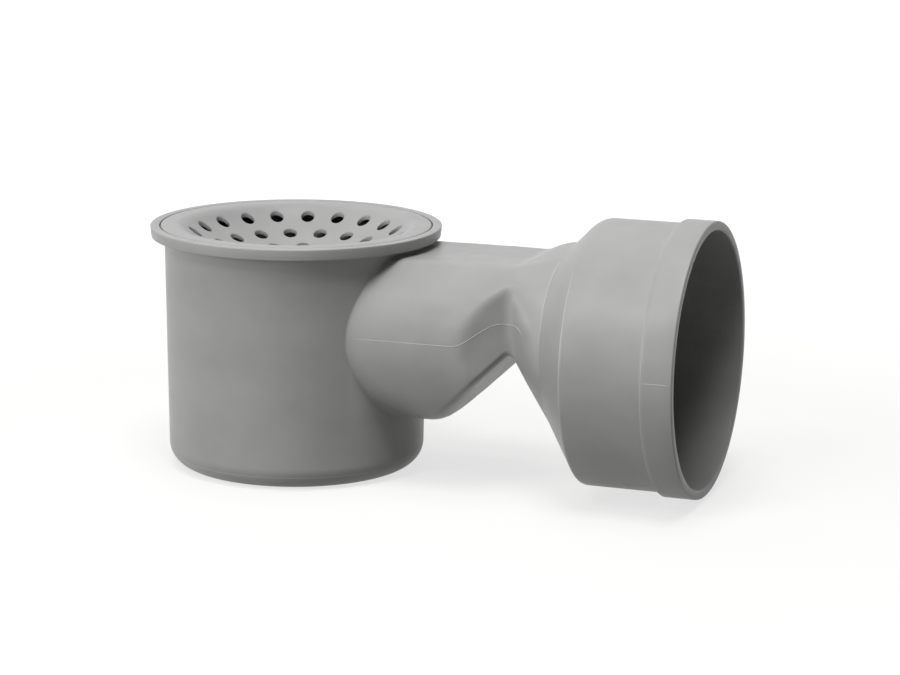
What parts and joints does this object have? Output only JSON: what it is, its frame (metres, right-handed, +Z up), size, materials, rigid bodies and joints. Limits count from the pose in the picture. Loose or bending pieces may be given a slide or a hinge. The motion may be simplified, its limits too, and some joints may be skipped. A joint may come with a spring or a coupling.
{
  "type": "floor trap",
  "caption": "Round floor trap with a dished, perforated grate in a flanged rim and a pinched side outlet that opens into a pipe socket.",
  "frame": {"origin": "centre of the cup's flat base, on the surface that it stands on", "axes": "+Z up along the cup's axis, +X towards the outlet's mouth"},
  "size_m": [0.2528, 0.128, 0.1202],
  "materials": {
    "cup": "satin moulded PVC",
    "outlet": "satin moulded PVC",
    "grate": "satin moulded PVC",
    "dip_tube": "satin moulded PVC",
    "seal_ring": "matt rubber"
  },
  "bodies": {
    "root": {"cup": "cup", "outlet": "outlet", "grate": "grate", "dip_tube": "dip_tube", "seal_ring": "seal_ring"}
  },
  "joints": []
}
